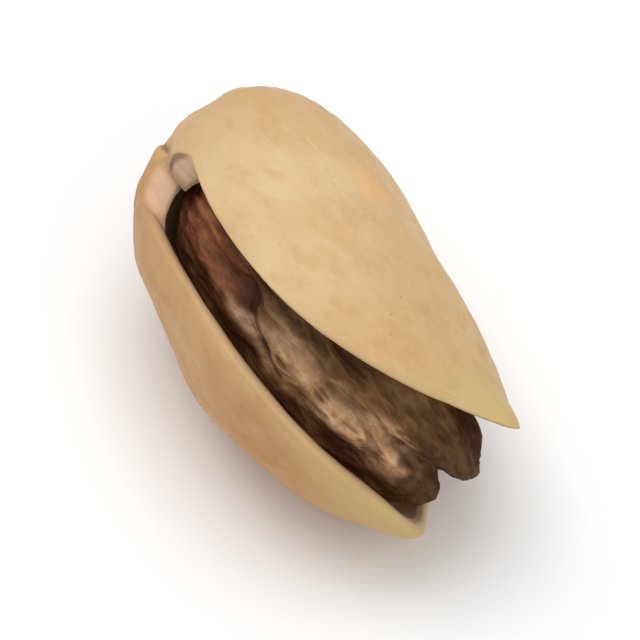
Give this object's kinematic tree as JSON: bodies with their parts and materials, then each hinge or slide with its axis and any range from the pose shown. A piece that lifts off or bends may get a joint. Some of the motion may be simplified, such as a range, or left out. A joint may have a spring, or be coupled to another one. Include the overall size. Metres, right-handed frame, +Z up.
{
  "type": "pistachio in shell",
  "caption": "Roasted pistachio lying on its side, its hard shell split open from the beak, with the wrinkled kernel loose inside.",
  "frame": {"origin": "under the middle of the nut, on the surface that it rests on", "axes": "+X along the nut from the stem end to the beak, +Z up, and the split faces up and towards -Y"},
  "size_m": [0.0198, 0.0114, 0.011],
  "materials": {
    "shell": "matte",
    "kernel_skin": "satin"
  },
  "bodies": {
    "root": {"shell": "shell", "kernel": "kernel_skin"}
  },
  "joints": []
}
